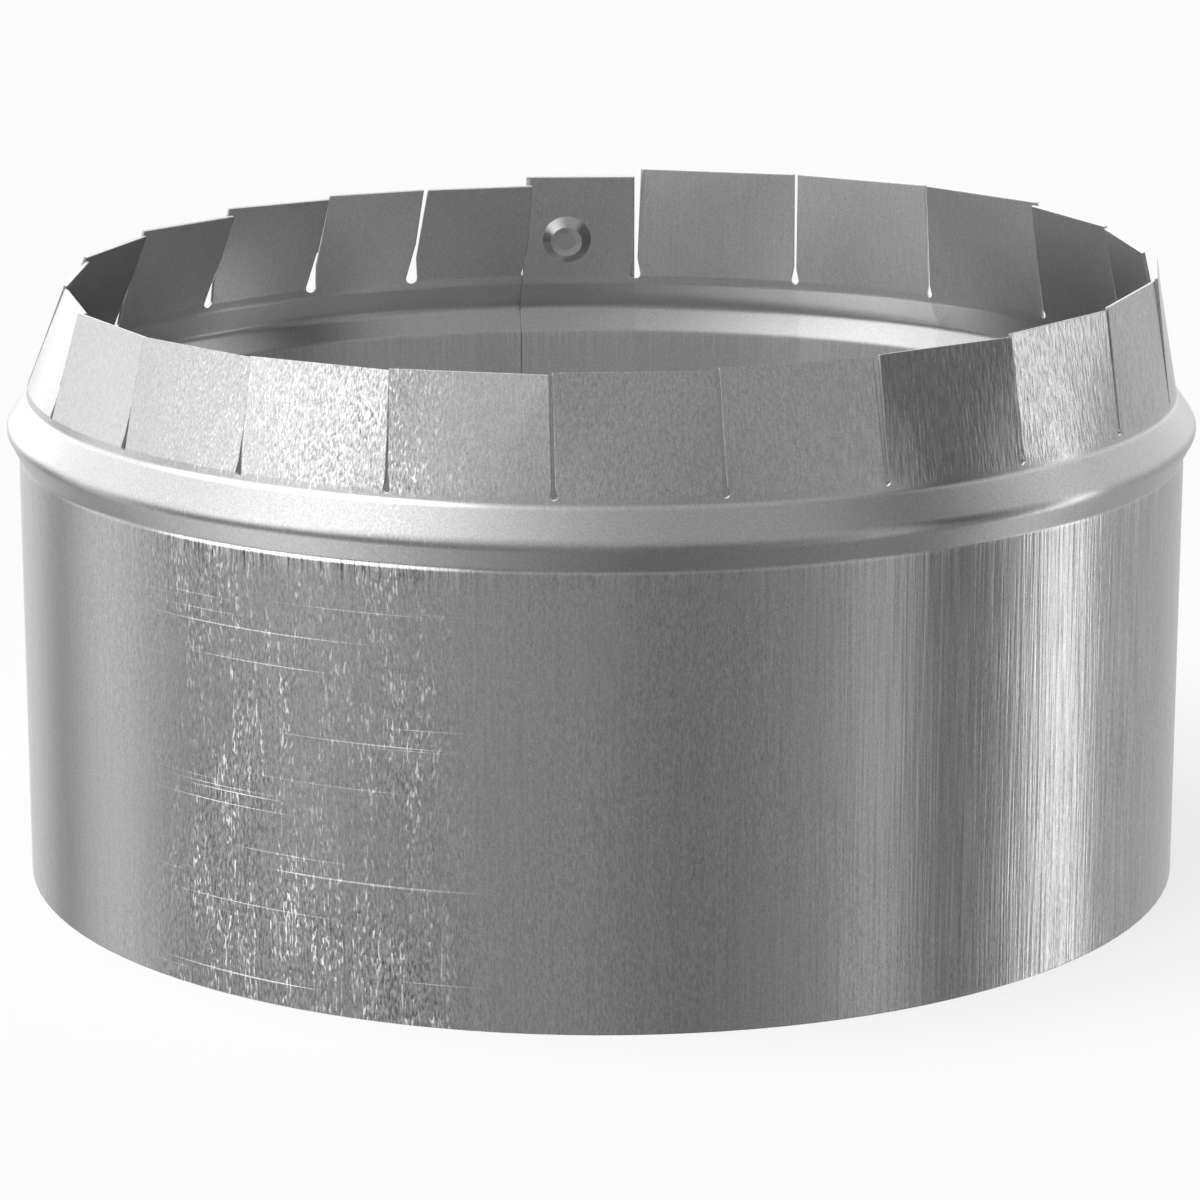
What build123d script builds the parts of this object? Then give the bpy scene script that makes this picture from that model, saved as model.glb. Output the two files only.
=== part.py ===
from build123d import *
from collections import namedtuple
import math
import os

# Short duct collar: one rolled strip of galvanised sheet, lapped and clinched at its seam.
# Millimetres and degrees. +Z runs up the axis towards the tabs, and z = 0 is the plain rim.
# Angles run counter-clockwise from +X, so the seam lies at the back, near +Y.

# Sheet and plain wall
sheet_thickness = 0.4
outer_diameter = 152.4
wall_height = 56.4

# Rolled bead, as the corners of its outside before they are rounded
bead_proud = 1.75
bead_lower_height = 3.3
bead_upper_height = 4.1
crease_inset = 1.1
foot_radius = 0.7
crest_radius = 1.5
crease_radius = 1.0

# Tabs, which are longest at one side of the ring
tab_count = 23
tab_length = 13.6
tab_length_gain = 2.6
tab_length_angle = 30.0
neck_height = 1.1

# Slits, with a drop-shaped notch at the bottom that is tallest and widest at one side of the ring.
# They drift closer together on one side of the seam.
slit_width = 0.4
notch_depth = 0.4
notch_width = 0.9
notch_width_gain = 0.9
notch_width_angle = 118.0
notch_width_power = 6
notch_height = 1.8
notch_height_gain = 5.4
notch_height_angle = 150.0
notch_height_power = 2
slit_drift = 6.5
slit_drift_power = 32
slit_wave = 1.0
slit_waves = 2
slit_top_gap = 0.15
slit_top_spread = 0.9
slit_spread_angle = 60.0
slit_spread_power = 4

# How the tabs were bent by hand: inward lean from the first tab to the last with more at two places,
# twist about their length and sway along the ring, with a ripple from tab to tab
neck_lean = 11.0
first_lean = 22.0
last_lean = 2.0
left_lean = 7.0
left_lean_angle = 188.0
left_lean_power = 8
right_lean = 8.0
right_lean_angle = 18.0
right_lean_power = 30
lean_ripple = 1.2
lean_ripple_waves = 8
tab_twist = 2.8
tab_twist_angle = 140.0
tab_twist_power = 8
twist_ripple = 1.0
twist_ripple_waves = 6
tab_sway = 3.5
tab_sway_angle = 190.0

# Lap seam, one narrow tab wide
seam_slit = 86.1
lap_span = 12.4
lap_gap = 0.2
lap_cover = 0.5

# Clinch buttons that hold the lap
clinch_base_radius = 3.4
clinch_crest_radius = 2.25
clinch_dish_radius = 1.4
clinch_height = 1.0
clinch_dish_depth = 0.25
clinch_punch_radius = 1.9
clinch_floor = 0.35
clinch_offset = 2.4
clinch_tab_height = 5.8
clinch_rim_height = 14.0

# Values worked out from the sizes above
outer_radius = outer_diameter / 2
tab_pitch = (360.0 - lap_span) / (tab_count - 1)
lap_step = sheet_thickness + lap_gap
foot_z = wall_height
crest_z = foot_z + bead_lower_height
crease_z = crest_z + bead_upper_height
neck_z = crease_z + neck_height
neck_slope = math.tan(math.radians(neck_lean))
neck_outer_radius = outer_radius - crease_inset - neck_height * neck_slope
neck_inner_radius = neck_outer_radius - sheet_thickness / math.cos(math.radians(neck_lean))

# One arc of the strip: its axis, how much smaller than the plain wall it is rolled, its two end
# angles, and the sides of the tabs along it.
Stretch = namedtuple("Stretch", "center shrink start end sides")

# One side of a tab: the angle of the slit's middle, whether the slit is cut into the neck there,
# and whether the tab laps past the slit instead of stopping short of it.
TabSide = namedtuple("TabSide", "slit cut laps")


def polar(radius, angle, center=(0.0, 0.0), z=0.0):
    """Point at a radius and an angle about an upright axis through center."""
    turn = math.radians(angle)
    return Vector(center[0] + radius * math.cos(turn), center[1] + radius * math.sin(turn), z)


def slit_angle(index):
    """Middle of a slit, counted from the one beside the lapped tab's far edge."""
    step = 180.0 * (index - 1) / (tab_count - 1)
    drift = slit_drift * (1 - math.cos(math.radians(step)) ** slit_drift_power)
    wave = slit_wave * math.sin(math.radians(2 * slit_waves * step))
    return seam_slit + lap_span + (index - 1) * tab_pitch - drift - wave


def cut_side(index):
    """The side of a tab at an ordinary slit."""
    return TabSide(slit_angle(index), cut=True, laps=False)


def edge_offset(side, gap):
    """Distance from a slit's middle back to the tab's edge, where the slit is as wide as the gap."""
    return -gap / 2 - lap_cover if side.laps else gap / 2


def edge_turn(side, radius):
    """Angle from a slit's middle to the tab's edge at its root. The strip's own ends are cut radially."""
    across = radius if side.cut else neck_outer_radius
    return math.degrees(math.asin(edge_offset(side, slit_width) / across))


def strip_stretches():
    """The strip as tangent arcs, from the lap's outer end round to its inner end.

    Over the two tabs before the seam it turns inwards and back, so that it slips inside its own start.
    """
    outer_start = TabSide(seam_slit, cut=False, laps=False)
    inner_finish = TabSide(360.0 + slit_angle(1), cut=False, laps=True)
    ring_sides = [cut_side(index) for index in range(1, tab_count - 1)]
    in_side, back_side, lap_side = (cut_side(index) for index in range(tab_count - 2, tab_count + 1))
    in_turn = math.radians(back_side.slit - in_side.slit)
    back_turn = math.radians(lap_side.slit - back_side.slit)
    sines = math.sin(in_turn) / math.sin(back_turn)
    in_bend = lap_step / (1 - math.cos(in_turn) + sines * (1 - math.cos(back_turn)))
    back_bend = in_bend * sines
    in_center = polar(in_bend, in_side.slit)
    back_center = polar(-back_bend, lap_side.slit)
    outer_end = outer_start.slit + edge_turn(outer_start, neck_outer_radius)
    inner_end = inner_finish.slit - edge_turn(inner_finish, neck_outer_radius)
    return [
        Stretch((0.0, 0.0), 0.0, outer_end, in_side.slit, [outer_start] + ring_sides),
        Stretch((in_center.X, in_center.Y), in_bend, in_side.slit, back_side.slit, [in_side, back_side]),
        Stretch((back_center.X, back_center.Y), lap_step - back_bend, back_side.slit, lap_side.slit,
                [back_side, lap_side]),
        Stretch((0.0, 0.0), lap_step, lap_side.slit, inner_end, [lap_side, inner_finish]),
    ]


def wall_profile():
    """Section of the rolled strip, from the rim to the neck below the slits."""
    spare = neck_height
    outside = FilletPolyline(
        (outer_radius, 0),
        (outer_radius, foot_z),
        (outer_radius + bead_proud, crest_z),
        (outer_radius - crease_inset, crease_z),
        (neck_outer_radius - spare * neck_slope, neck_z + spare),
        radius=(foot_radius, crest_radius, crease_radius),
    )
    section = make_face(offset(outside, amount=sheet_thickness, side=Side.LEFT, closed=True).edges())
    below_neck = Pos(0, neck_z / 2) * Rectangle(4 * outer_radius, neck_z)
    return Plane.XZ * (section & below_neck)


def rolled_band(stretch, profile):
    """The strip's section turned about one arc's axis, with the bottoms of the slits cut out."""
    band = revolve(Pos(-stretch.shrink, 0, 0) * profile, axis=Axis.Z,
                   revolution_arc=stretch.end - stretch.start)
    band = Pos(*stretch.center, 0) * (Rot(0, 0, stretch.start) * band)
    return band - notches(stretch, stretch.sides)


def notch(stretch, angle):
    """Drop-shaped cut through the sheet, which widens and rounds the bottom of one slit."""
    height = notch_height + notch_height_gain * ring_share(angle, notch_height_angle) ** notch_height_power
    width = notch_width + notch_width_gain * ring_share(angle, notch_width_angle) ** notch_width_power
    depth = height * math.tan(math.radians(first_lean + left_lean)) + 2 * sheet_thickness
    radius = width / 2
    point = Polyline((-radius, 0), (radius, 0), (0, height - radius), close=True)
    drop = Pos(0, radius - notch_depth) * (Circle(radius) + make_face(point))
    place = Plane(polar(neck_outer_radius - stretch.shrink, angle, stretch.center, neck_z),
                  x_dir=polar(1, angle + 90), z_dir=polar(1, angle))
    return extrude(place * drop, amount=depth, both=True)


def notches(stretch, sides):
    """The notches of the slits at some sides of the tabs."""
    return [notch(stretch, side.slit) for side in sides if side.cut]


def ring_share(angle, peak_angle):
    """One at the peak angle, falling evenly to nothing on the far side of the ring."""
    return (1 + math.cos(math.radians(angle - peak_angle))) / 2


def ripple(angle, waves):
    """Small unevenness from tab to tab, the same again after a full turn."""
    return math.sin(math.radians(waves * (angle % 360.0)))


def strip_share(angle):
    """How far along the strip an angle lies, from nothing at the seam to one back at the seam."""
    return (angle - seam_slit) % 360.0 / 360.0


def length_at(angle):
    """Length of the tab at an angle."""
    return tab_length + tab_length_gain * ring_share(angle, tab_length_angle)


def lean_at(angle):
    """Inward lean of the tab at an angle. The two layers of the lap share the mean of both ends."""
    share = strip_share(angle)
    if share < lap_span / 360.0:
        share = 0.5
    lean = first_lean + (last_lean - first_lean) * share
    left = left_lean * ring_share(angle, left_lean_angle) ** left_lean_power
    right = right_lean * ring_share(angle, right_lean_angle) ** right_lean_power
    return lean + left + right + lean_ripple * ripple(angle, lean_ripple_waves)


def twist_at(angle):
    """Turn of the tab at an angle about its first edge, which moves its last edge outwards."""
    turn = tab_twist * ring_share(angle, tab_twist_angle) ** tab_twist_power
    return turn + twist_ripple * ripple(angle, twist_ripple_waves)


def sway_at(angle):
    """Slant of the tab at an angle within its own face, which moves its top towards its first edge."""
    return tab_sway * ring_share(angle, tab_sway_angle)


def top_gap_at(angle):
    """Width of the slit at an angle between the tops of its two tabs."""
    return slit_top_gap + slit_top_spread * ring_share(angle, slit_spread_angle) ** slit_spread_power


def tab_frame(stretch, first_side, last_side, height):
    """Plane across a tab at a height up its length: x runs along its width, y inwards and z up the tab."""
    middle = (first_side.slit + last_side.slit) / 2
    half_span = math.radians(last_side.slit - first_side.slit) / 2
    mean_radius = (neck_outer_radius + neck_inner_radius) / 2 - stretch.shrink
    flattening = mean_radius * (1 - math.cos(half_span)) * 2 / 3
    slope = math.radians(lean_at(middle))
    up = Vector(0, 0, 1) * math.cos(slope) - polar(1, middle) * math.sin(slope)
    foot = polar(mean_radius - flattening, middle, stretch.center, neck_z)
    aside = polar(1, middle + 90)
    slant = math.tan(math.radians(sway_at(middle)))
    return Plane(foot + (up - aside * slant) * height, x_dir=aside, z_dir=up)


def tab(stretch, first_side, last_side):
    """One tab, from its curved root on the neck to its straight top edge."""
    middle = (first_side.slit + last_side.slit) / 2

    def side_angles(radius):
        return first_side.slit + edge_turn(first_side, radius), last_side.slit - edge_turn(last_side, radius)

    def root_point(radius, angle):
        return polar(radius, angle, stretch.center, neck_z)

    outer = neck_outer_radius - stretch.shrink
    inner = neck_inner_radius - stretch.shrink
    outer_first, outer_last = side_angles(outer)
    inner_first, inner_last = side_angles(inner)
    axis_point = (*stretch.center, neck_z)
    root = make_face([
        CenterArc(axis_point, outer, outer_first, outer_last - outer_first),
        Line(root_point(outer, outer_last), root_point(inner, inner_last)),
        CenterArc(axis_point, inner, inner_first, inner_last - inner_first),
        Line(root_point(inner, inner_first), root_point(outer, outer_first)),
    ])
    top = tab_frame(stretch, first_side, last_side, length_at(middle))
    top_radius = math.hypot(top.origin.X - stretch.center[0], top.origin.Y - stretch.center[1])
    reach = top_radius * math.tan(math.radians(last_side.slit - first_side.slit) / 2)
    low = -reach + edge_offset(first_side, top_gap_at(first_side.slit))
    high = reach - edge_offset(last_side, top_gap_at(last_side.slit))
    edge = Rectangle(high - low, sheet_thickness, align=(Align.MIN, Align.CENTER))
    whole = loft([root, top * Pos(low, 0) * Rot(0, 0, -twist_at(middle)) * edge], ruled=True)
    return whole - notches(stretch, [first_side, last_side])


def tabs_on(stretch):
    """The tabs between each two neighbouring sides of one arc."""
    return [tab(stretch, first, last) for first, last in zip(stretch.sides, stretch.sides[1:])]


def clinch(plane):
    """Button pressed through both layers of the lap, and the punch mark that is cut behind it.

    The plane lies on the inside face of the inner layer, with z pointing to the collar's axis.
    """
    behind = lap_step + sheet_thickness / 2
    bite = sheet_thickness
    spread = bite * (clinch_base_radius - clinch_crest_radius) / clinch_height
    crown = clinch_height - clinch_dish_depth
    outline = Polyline(
        (0, -behind),
        (clinch_base_radius + spread, -behind),
        (clinch_base_radius + spread, -bite),
        (clinch_crest_radius, clinch_height),
        (clinch_dish_radius, crown),
        (0, crown),
        close=True,
    )
    button = revolve(Plane.XZ * make_face(outline), axis=Axis.Z)
    punch_start = -behind - 2 * sheet_thickness
    punch = Pos(0, 0, punch_start) * Cylinder(clinch_punch_radius, crown - clinch_floor - punch_start,
                                              align=(Align.CENTER, Align.CENTER, Align.MIN))
    return plane * button, plane * punch


def clinches(lap):
    """Buttons and punch marks of the two clinches: one on the lapped tab, one on the wall near the rim."""
    across_tab = tab_frame(lap, *lap.sides, clinch_tab_height)
    inner_face = across_tab.y_dir * (sheet_thickness / 2)
    tab_place = across_tab.origin + across_tab.x_dir * clinch_offset + inner_face
    on_tab = Plane(tab_place, x_dir=across_tab.x_dir, z_dir=across_tab.y_dir)
    wall_radius = outer_radius - lap.shrink - sheet_thickness
    wall_angle = seam_slit + lap_span / 2
    on_wall = Plane(polar(wall_radius, wall_angle, lap.center, clinch_rim_height),
                    x_dir=polar(1, wall_angle + 90), z_dir=-polar(1, wall_angle))
    pairs = [clinch(on_tab), clinch(on_wall)]
    return [button for button, punch in pairs], [punch for button, punch in pairs]


def collar_sheet():
    """The whole collar as one solid."""
    stretches = strip_stretches()
    profile = wall_profile()
    bands = [rolled_band(stretch, profile) for stretch in stretches]
    tabs = [made for stretch in stretches for made in tabs_on(stretch)]
    buttons, punches = clinches(stretches[-1])
    return bands[0] + bands[1:] + tabs + buttons - punches


os.makedirs("parts", exist_ok=True)
sheet = collar_sheet()
sheet.label = "collar_sheet"
export_step(sheet, "parts/collar_sheet.step")
print("collar_sheet", len(sheet.solids()), "solid", round(sheet.volume), "cubic mm, valid", sheet.is_valid)
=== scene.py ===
import math
import bpy
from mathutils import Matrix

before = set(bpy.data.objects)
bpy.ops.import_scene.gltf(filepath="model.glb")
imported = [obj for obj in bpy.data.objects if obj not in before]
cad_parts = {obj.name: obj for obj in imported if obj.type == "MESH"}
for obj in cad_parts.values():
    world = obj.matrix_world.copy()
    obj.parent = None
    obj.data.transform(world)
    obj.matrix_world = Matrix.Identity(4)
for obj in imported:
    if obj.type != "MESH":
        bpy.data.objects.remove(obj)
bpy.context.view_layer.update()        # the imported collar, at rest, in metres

scene = bpy.context.scene
scene.view_settings.view_transform = "Standard"
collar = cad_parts["collar_sheet"]
print("frame loaded:", sorted(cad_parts))


# small helpers for shader trees
class Tree:
    def __init__(self, owner):
        owner.use_nodes = True
        self.nodes = owner.node_tree.nodes
        self.links = owner.node_tree.links
        self.nodes.clear()

    def add(self, kind, settings=None, **inputs):
        node = self.nodes.new(kind)
        for name, value in (settings or {}).items():
            setattr(node, name, value)
        for name, value in inputs.items():
            self.feed(node.inputs[name.replace("_", " ")], value)
        return node

    def feed(self, socket, value):
        if isinstance(value, bpy.types.NodeSocket):
            self.links.new(value, socket)
        else:
            socket.default_value = value

    def math(self, operation, *values):
        node = self.nodes.new("ShaderNodeMath")
        node.operation = operation
        for socket, value in zip(node.inputs, values):
            self.feed(socket, value)
        return node.outputs[0]

    def vector(self, operation, first, second=None, scale=None):
        node = self.nodes.new("ShaderNodeVectorMath")
        node.operation = operation
        self.feed(node.inputs[0], first)
        if second is not None:
            self.feed(node.inputs[1], second)
        if scale is not None:
            self.feed(node.inputs["Scale"], scale)
        return node.outputs["Value" if operation == "DOT_PRODUCT" else "Vector"]

    def around(self, level, azimuth, width):
        # one towards an azimuth, fading over a width to its sides, degrees
        turn = math.radians(azimuth)
        sharp = 1 / (1 - math.cos(math.radians(width)))
        facing = self.vector("DOT_PRODUCT", level, (math.sin(turn), -math.cos(turn), 0))
        return self.math("EXPONENT", self.math("MULTIPLY_ADD", facing, sharp, -sharp))

    def noise(self, place, period, stretch=(1, 1, 1), detail=2.0, rough=0.5):
        # period in metres across the grain, stretch lengthens the marks along an axis
        spread = self.add("ShaderNodeMapping", Vector=place)
        spread.inputs["Scale"].default_value = [1 / (period * times) for times in stretch]
        node = self.add("ShaderNodeTexNoise", Scale=1.0, Detail=detail, Roughness=rough)
        self.feed(node.inputs["Vector"], spread.outputs["Vector"])
        return node.outputs["Fac"]

    def between(self, value, low, high, outLow=0.0, outHigh=1.0):
        node = self.add("ShaderNodeMapRange", {"interpolation_type": "SMOOTHSTEP"}, Value=value)
        limits = {"From Min": low, "From Max": high, "To Min": outLow, "To Max": outHigh}
        for name, number in limits.items():
            self.feed(node.inputs[name], number)
        return node.outputs["Result"]

    def share(self, zone, pair):
        # the first of the pair outside a zone, the second in it
        return self.math("MULTIPLY_ADD", zone, pair[1] - pair[0], pair[0])

    def sum(self, *parts):
        total = parts[0]
        for part in parts[1:]:
            total = self.math("ADD", total, part)
        return total


# periods, reliefs and heights in metres; the marks are shares by which the metal's painted brightness
# varies, partly real mottle and scratches and, in the glint and sheen zones, painted glints and sheen;
# azimuth 0 is the camera's side and turns towards +X, degrees; shares are outside a zone and in it;
# glint is how far a mark's normal turns upwards
galvanised = {
    "color": (0.59, 0.59, 0.59),
    "darkest": 0.15,
    "roughness": 0.32,
    "anisotropic": 0.90,
    "grainTurn": 0.25,
    "edgeRadius": 0.00022,
    "glint": 0.20,
    "fleck": {"period": 0.00024, "stretch": 3.6, "detail": 2.0, "relief": 0.000045, "mark": 2.4,
              "share": (0.25, 1.0)},
    "dash": {"period": 0.00024, "stretch": 4.5, "detail": 1.0, "relief": 0.000008, "mark": 1.0,
             "range": (0.56, 0.66)},
    "ripple": {"period": 0.00034, "stretch": 45, "detail": 1.0, "relief": 0.000042, "mark": 1.2},
    "grain": {"period": 0.00016, "stretch": 1.5, "detail": 1.0, "relief": 0.0, "mark": 0.6},
    "scratch": {"period": 0.00023, "stretch": 210, "relief": 0.000008, "mark": 0.9,
                "range": (0.735, 0.79), "scatter": 42, "slide": (1.0, 0.6, 0.0)},
    # painted highlight lines along the bead's foot and crease
    "paintedHighlight": {"heights": (0.0562, 0.0637), "halfWidth": 0.00042, "mark": 1.2, "glint": 0.50,
                "share": (0.15, 1.0)},
    "patch": {"period": 0.022, "stretch": 1.6, "range": (0.36, 0.62), "share": (0.4, 1.3)},
    "column": {"period": 0.0011, "stretch": 14, "range": (0.42, 0.60)},
    # a zone of real scuffs whose flecks, dashes and scratches also carry painted glints of the left window
    "scuffsAndGlints": {"azimuth": -28, "width": 18, "edge": (0.28, 0.75), "combs": (0.2, 2.4)},
    # a zone of real ripples whose colour stripes also carry a painted sheen of the right strip
    "combsAndSheen": {"azimuth": 46, "width": 20, "share": (0.15, 0.95)},
    "outside": {"turn": 0.1, "share": (0.25, 1.0)},
    "bead": {"foot": 0.0562, "crease": 0.0645, "combs": 0.0035, "footBlur": 0.0003, "blur": 0.0004,
             "share": (1.0, 0.25)},
}


def sheetZones(tree, place, height):
    # scuffs with painted glints, combs with painted sheen, and which part of the section a point is on
    look = galvanised
    level = tree.vector("NORMALIZE", tree.vector("MULTIPLY", place, (1, 1, 0)))
    zones = {name: tree.around(level, look[name]["azimuth"], look[name]["width"])
             for name in ("scuffsAndGlints", "combsAndSheen")}
    zones["scuffsAndGlints"] = tree.between(zones["scuffsAndGlints"], *look["scuffsAndGlints"]["edge"])     # a firmer edge
    facing = tree.vector("DOT_PRODUCT", tree.add("ShaderNodeNewGeometry").outputs["Normal"], level)
    turn = look["outside"]["turn"]
    zones["outside"] = tree.between(facing, -turn, turn, *look["outside"]["share"])
    bead = look["bead"]
    foot, crease = bead["foot"], bead["crease"]
    footBlur, blur = bead["footBlur"], bead["blur"]
    zones["bead"] = tree.math("MULTIPLY", tree.between(height, foot - footBlur, foot + footBlur),
                              tree.between(height, crease + blur, crease - blur))
    zones["underBead"] = tree.math("MULTIPLY", tree.between(height, foot - bead["combs"], foot),
                                   tree.between(height, foot + footBlur, foot))
    zones["wall"] = tree.between(height, foot, foot - blur)
    return zones


def sheetMarks(tree, place, height, zones):
    # each kind of mark, weighted by the zones that it lies in; in the glint and sheen zones the marks paint
    # light into the colour
    look = galvanised

    def upright(kind, detail):
        return tree.noise(place, look[kind]["period"], (1, 1, look[kind]["stretch"]), detail)

    patch = tree.between(upright("patch", 2.0), *look["patch"]["range"], *look["patch"]["share"])
    column = tree.between(upright("column", 1.0), *look["column"]["range"])
    raw = {kind: upright(kind, look[kind]["detail"]) for kind in ("fleck", "dash", "ripple", "grain")}
    # level scratches, shifted sideways with their height so that their ends don't line up
    scratch = look["scratch"]
    slide = tree.math("MULTIPLY", height, scratch["scatter"])
    shifted = tree.vector("ADD", place, tree.vector("SCALE", scratch["slide"], scale=slide))
    level = (scratch["stretch"], scratch["stretch"], 1)
    raw["scratch"] = tree.noise(shifted, scratch["period"], level, 0.0)
    offBead = tree.share(zones["bead"], look["bead"]["share"])
    uneven = tree.math("MULTIPLY", tree.math("MULTIPLY", patch, zones["outside"]), offBead)
    # flecks, dashes, scratches and the combs under the bead brighten the colour here: partly real marks,
    # partly painted glints
    scuffAndGlintWeight = tree.math("MULTIPLY", zones["scuffsAndGlints"], uneven)
    # ripple stripes here are partly real combs, partly a painted sheen of the right strip
    combs = tree.math("MULTIPLY", tree.share(zones["combsAndSheen"], look["combsAndSheen"]["share"]), offBead)
    footCombsAndGlints = tree.share(zones["scuffsAndGlints"], look["scuffsAndGlints"]["combs"])
    weights = {"fleck": tree.math("MULTIPLY", uneven, tree.share(zones["scuffsAndGlints"], look["fleck"]["share"])),
               "dash": tree.math("MULTIPLY", scuffAndGlintWeight, column),
               "ripple": tree.math("MULTIPLY_ADD", zones["underBead"], footCombsAndGlints, combs),
               "grain": 1.0,
               "scratch": tree.math("MULTIPLY", scuffAndGlintWeight, zones["wall"])}
    marks = {kind: tree.math("SUBTRACT", raw[kind], 0.5) for kind in ("fleck", "ripple", "grain")}
    for kind in ("dash", "scratch"):
        marks[kind] = tree.between(raw[kind], *look[kind]["range"])
    return {kind: tree.math("MULTIPLY", mark, weights[kind]) for kind, mark in marks.items()}


def paintedHighlightLines(tree, height, zones):
    # painted highlight lines along the bead's foot and crease, strongest where the glints are painted
    paintedHighlight = galvanised["paintedHighlight"]
    away = [tree.math("ABSOLUTE", tree.math("SUBTRACT", height, line)) for line in paintedHighlight["heights"]]
    lines = tree.sum(*(tree.between(distance, paintedHighlight["halfWidth"], 0.0) for distance in away))
    shine = tree.math("MULTIPLY", lines, tree.share(zones["scuffsAndGlints"], paintedHighlight["share"]))
    return tree.math("MULTIPLY", shine, zones["outside"])


def galvanisedSheet():
    mat = bpy.data.materials.new("galvanisedSheet")
    tree = Tree(mat)
    look = galvanised
    place = tree.add("ShaderNodeTexCoord").outputs["Object"]
    height = tree.vector("DOT_PRODUCT", place, (0, 0, 1))
    zones = sheetZones(tree, place, height)
    marks = sheetMarks(tree, place, height, zones)
    shine = paintedHighlightLines(tree, height, zones)
    # the colour brightens with the marks and with the painted highlight lines
    bright = tree.sum(1.0, tree.math("MULTIPLY", shine, look["paintedHighlight"]["mark"]),
                      *(tree.math("MULTIPLY", mark, look[kind]["mark"]) for kind, mark in marks.items()))
    bright = tree.math("MAXIMUM", bright, look["darkest"])
    tint = tree.vector("SCALE", look["color"], scale=bright)
    relief = tree.sum(*(tree.math("MULTIPLY", mark, look[kind]["relief"]) for kind, mark in marks.items()))
    edge = tree.add("ShaderNodeBevel", {"samples": 6}, Radius=look["edgeRadius"])
    bump = tree.add("ShaderNodeBump", Height=relief, Strength=1.0, Distance=1.0,
                    Normal=edge.outputs["Normal"])
    # dashes and scratches are small dents that face a little upwards and catch the window
    dents = tree.math("MINIMUM", tree.math("ADD", marks["dash"], marks["scratch"]), 1.0)
    lift = tree.math("MULTIPLY", shine, look["paintedHighlight"]["glint"])
    lift = tree.math("MULTIPLY_ADD", dents, look["glint"], lift)
    upward = tree.vector("SCALE", (0, 0, 1), scale=lift)
    normal = tree.vector("NORMALIZE", tree.vector("ADD", bump.outputs["Normal"], upward))
    tangent = tree.add("ShaderNodeTangent", {"direction_type": "RADIAL", "axis": "Z"})
    skin = tree.add("ShaderNodeBsdfPrincipled", Metallic=1.0, Roughness=look["roughness"],
                    Anisotropic=look["anisotropic"], Anisotropic_Rotation=look["grainTurn"],
                    Base_Color=tint, Normal=normal, Tangent=tangent.outputs["Tangent"])
    out = tree.add("ShaderNodeOutputMaterial")
    tree.feed(out.inputs["Surface"], skin.outputs["BSDF"])
    return mat


collar.data.materials.clear()
collar.data.materials.append(galvanisedSheet())
print("collar dressed:", len(collar.data.polygons), "faces")

studioFloor = {"radius": 6.0, "sides": 96, "color": (0.9, 0.9, 0.9), "roughness": 0.9, "whiteness": 0.7}


def layFloor():
    bpy.ops.mesh.primitive_circle_add(vertices=studioFloor["sides"], radius=studioFloor["radius"],
                                      fill_type="NGON")
    floor = bpy.context.object
    floor.name = "paleFloor"
    floor.visible_glossy = False     # the sheet mirrors the studio's walls instead
    mat = bpy.data.materials.new("paleFloor")
    tree = Tree(mat)
    paint = tree.add("ShaderNodeBsdfPrincipled", Roughness=studioFloor["roughness"])
    paint.inputs["Base Color"].default_value = (*studioFloor["color"], 1.0)
    paint.inputs["Specular IOR Level"].default_value = 0.0
    white = tree.add("ShaderNodeEmission", Strength=1.0)     # only the camera sees the floor this white
    rays = tree.add("ShaderNodeLightPath").outputs
    both = tree.add("ShaderNodeMixShader", Fac=tree.math("MULTIPLY", rays["Is Camera Ray"],
                                                         studioFloor["whiteness"]))
    tree.feed(both.inputs[1], paint.outputs["BSDF"])
    tree.feed(both.inputs[2], white.outputs["Emission"])
    out = tree.add("ShaderNodeOutputMaterial")
    tree.feed(out.inputs["Surface"], both.outputs["Shader"])
    floor.data.materials.append(mat)


layFloor()

# soft panels around the collar: low and high are the light that a panel adds below and above the
# horizon, and steep is what it adds far below it; less than nothing is a dark card
studioPanels = {
    "leftWindow": {"azimuth": -66, "width": 34, "steep": 0.0, "low": -0.42, "high": 1.45},
    "leftFloor": {"azimuth": -102, "width": 32, "steep": 1.70, "low": 0.0, "high": 0.0},
    "leftBounce": {"azimuth": -110, "width": 13, "steep": 0.0, "low": 0.45, "high": 0.55},
    "leftGap": {"azimuth": -132, "width": 7, "steep": 0.0, "low": -0.34, "high": -0.10},
    "leftBehind": {"azimuth": -148, "width": 24, "steep": 0.0, "low": 0.10, "high": 1.35},
    "backGlow": {"azimuth": 180, "width": 40, "steep": 0.30, "low": 0.45, "high": 1.00},
    "frontCard": {"azimuth": 18, "width": 16, "steep": -0.08, "low": -0.13, "high": -0.06},
    "rightBounce": {"azimuth": 56, "width": 6, "steep": 0.05, "low": 0.42, "high": 0.05},
    "rightCard": {"azimuth": 72, "width": 12, "steep": -0.12, "low": -0.05, "high": -0.50},
    "rightStrip": {"azimuth": 101.0, "width": 3.7, "steep": 0.30, "low": 3.05, "high": 0.75},
    "rightGlow": {"azimuth": 122, "width": 16, "steep": 0.0, "low": 0.10, "high": 0.15},
}
studioLevel = {"steep": 0.26, "low": 0.30, "high": 0.49, "diffuse": 0.30, "darkest": 0.02,
               "horizonBlur": 0.10, "steepRange": (-0.55, -0.85)}


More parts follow.
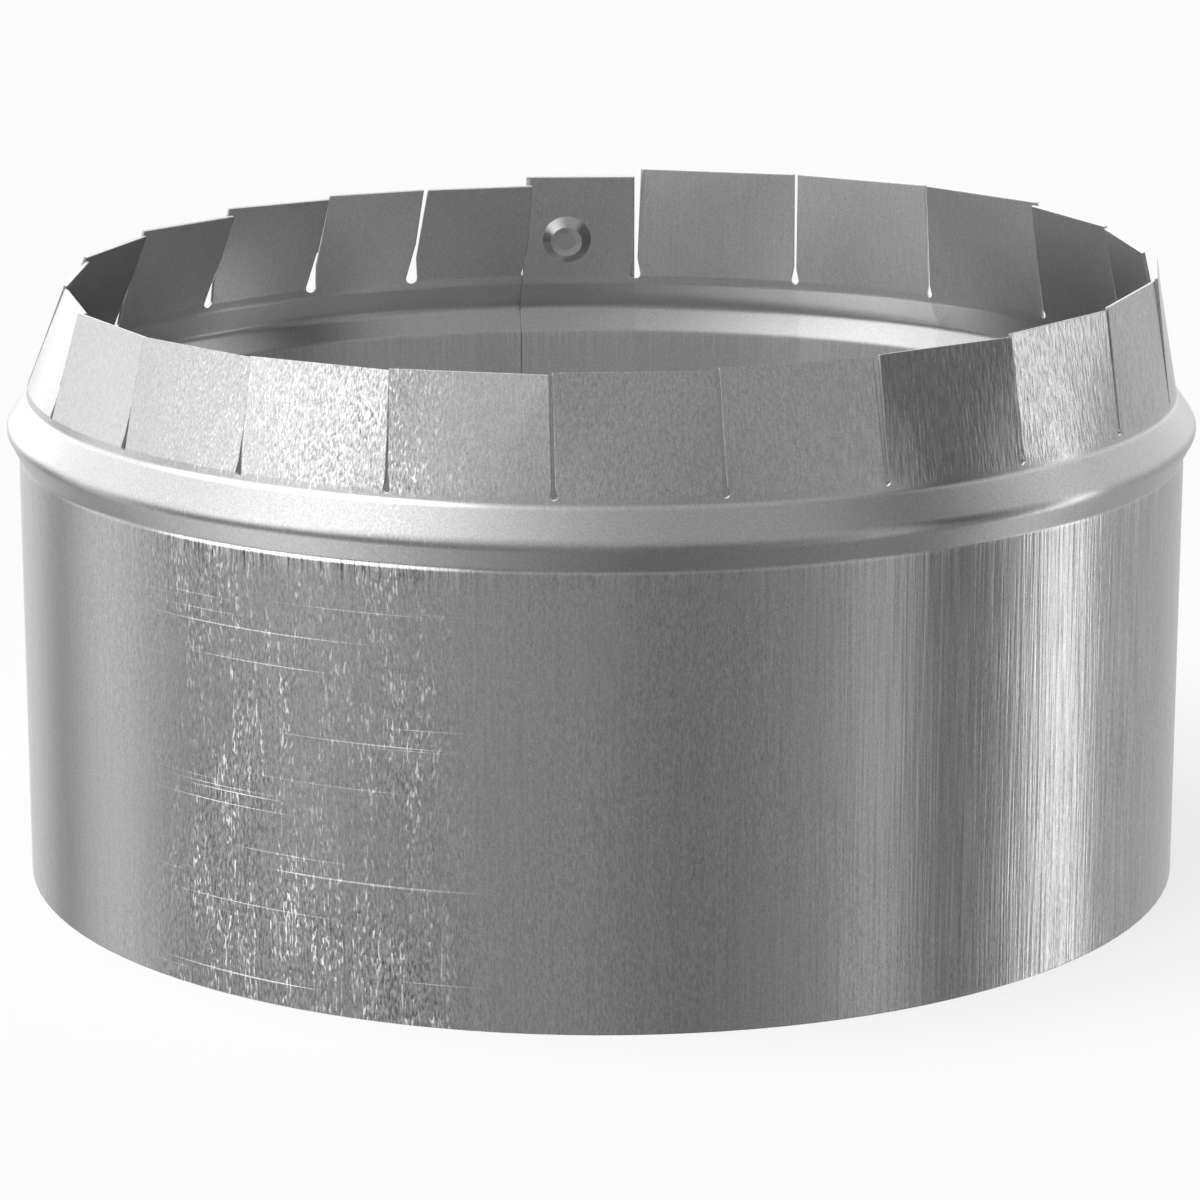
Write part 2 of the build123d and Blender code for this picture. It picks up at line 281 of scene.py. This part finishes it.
def hangStudio():
    world = bpy.data.worlds.new("studioWorld")
    scene.world = world
    tree = Tree(world)
    way = tree.add("ShaderNodeTexCoord").outputs["Generated"]
    level = tree.vector("NORMALIZE", tree.vector("MULTIPLY", way, (1, 1, 0)))
    height = tree.vector("DOT_PRODUCT", way, (0, 0, 1))
    above = tree.between(height, -studioLevel["horizonBlur"], studioLevel["horizonBlur"])
    below = tree.between(height, *studioLevel["steepRange"])

    def strength(part):
        lower = tree.math("MULTIPLY_ADD", below, part["steep"] - part["low"], part["low"])
        return tree.math("MULTIPLY_ADD", above, part["high"] - part["low"], lower)

    mirrored = strength(studioLevel)
    for panel in studioPanels.values():
        glow = tree.around(level, panel["azimuth"], panel["width"])
        mirrored = tree.math("MULTIPLY_ADD", glow, strength(panel), mirrored)
    rays = tree.add("ShaderNodeLightPath").outputs
    plain = studioLevel["diffuse"]
    mirrored = tree.math("MAXIMUM", mirrored, studioLevel["darkest"])
    mirrored = tree.math("SUBTRACT", mirrored, plain)
    lit = tree.math("MULTIPLY_ADD", rays["Is Glossy Ray"], mirrored, plain)
    seen = tree.math("MAXIMUM", rays["Is Camera Ray"], lit)
    sky = tree.add("ShaderNodeBackground", Strength=seen)
    sky.inputs["Color"].default_value = (1, 1, 1, 1)
    out = tree.add("ShaderNodeOutputWorld")
    tree.feed(out.inputs["Surface"], sky.outputs["Background"])


hangStudio()

floorSun = {"strength": 2.3, "spread": 50, "tilt": (12, -14)}
sunLamp = bpy.data.lights.new("floorSun", "SUN")
sunLamp.energy = floorSun["strength"]
sunLamp.angle = math.radians(floorSun["spread"])
sunHolder = bpy.data.objects.new("floorSun", sunLamp)
scene.collection.objects.link(sunHolder)
sunHolder.rotation_euler = [math.radians(turn) for turn in floorSun["tilt"]] + [0.0]
sunHolder.visible_glossy = False
print("studio ready:", len(studioPanels), "panels")

# the camera stands on the -Y side and looks a little below the collar's middle
photoCamera = {"aimHeight": 0.040, "distance": 0.586, "elevation": 13.5, "pitch": 14.07, "yaw": 0.018,
               "lens": 132.35, "sensor": 36.0, "reach": 50.0}


def placeCamera():
    data = bpy.data.cameras.new("photoCamera")
    data.lens = photoCamera["lens"]
    data.sensor_width = photoCamera["sensor"]
    data.clip_end = photoCamera["reach"]
    holder = bpy.data.objects.new("photoCamera", data)
    scene.collection.objects.link(holder)
    up = math.radians(photoCamera["elevation"])
    away = photoCamera["distance"]
    holder.location = (0, -away * math.cos(up), photoCamera["aimHeight"] + away * math.sin(up))
    holder.rotation_euler = (math.radians(90 - photoCamera["pitch"]), 0, math.radians(photoCamera["yaw"]))
    scene.camera = holder


placeCamera()
